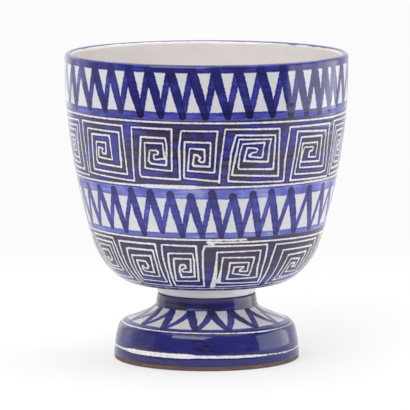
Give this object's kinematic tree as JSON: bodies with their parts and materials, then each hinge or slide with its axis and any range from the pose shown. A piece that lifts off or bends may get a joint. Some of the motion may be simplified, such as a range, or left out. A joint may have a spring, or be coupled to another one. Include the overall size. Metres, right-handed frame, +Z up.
{
  "type": "krater",
  "caption": "Footed bowl of krater shape in glazed ceramic: deep round body with a plain lip, short stem and hollow stepped foot, painted with blue zigzag and key bands.",
  "frame": {"origin": "on the vertical axis, in the plane that the foot ring stands on", "axes": "+Z up along the axis of the thrown form; -Y faces the viewer of the picture, +X is to that viewer's right"},
  "size_m": [0.23, 0.23, 0.25],
  "materials": {
    "painted_glaze": "glossy tin glaze under brushed cobalt blue, with lines scratched through to the white",
    "pale_glaze": "glossy greyish white tin glaze",
    "bare_clay": "unglazed fired terracotta"
  },
  "bodies": {
    "root": {"bowl": "painted_glaze", "foot": "painted_glaze", "luting_collar": "pale_glaze", "slip_joint": "bare_clay", "inner_joint_coil": "bare_clay"}
  },
  "joints": []
}
